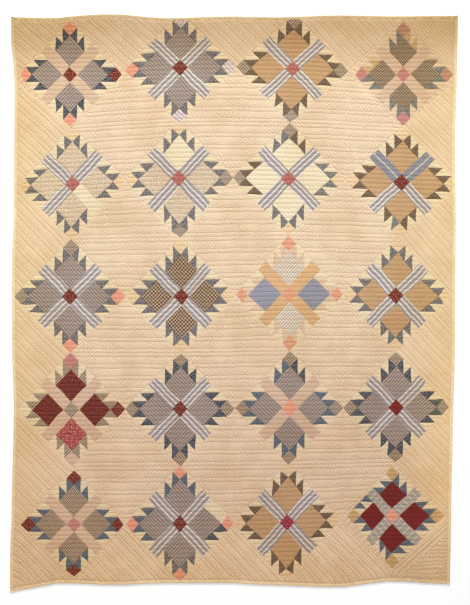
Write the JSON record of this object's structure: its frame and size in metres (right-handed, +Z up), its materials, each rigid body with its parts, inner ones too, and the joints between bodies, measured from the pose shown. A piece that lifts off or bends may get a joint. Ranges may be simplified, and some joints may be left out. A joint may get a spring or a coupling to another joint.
{
  "type": "bear paw quilt",
  "caption": "Flat quilted patchwork bed quilt in a bear paw pattern of blocks set on point, with a narrow folded binding round all edges.",
  "frame": {"origin": "under the middle of the quilt, on the surface that it lies on", "axes": "+Z up out of the pieced top, +Y along the quilt towards its top edge, +X across it towards its right edge"},
  "size_m": [1.7394, 2.2417, 0.006],
  "materials": {
    "quilted_cotton": "matt cotton, washed soft and a little yellowed",
    "binding_cotton": "matt cotton, plain weave"
  },
  "bodies": {
    "root": {"quilt": "quilted_cotton", "binding_left": "binding_cotton", "binding_right": "binding_cotton", "binding_top": "binding_cotton", "binding_bottom": "binding_cotton"}
  },
  "joints": []
}
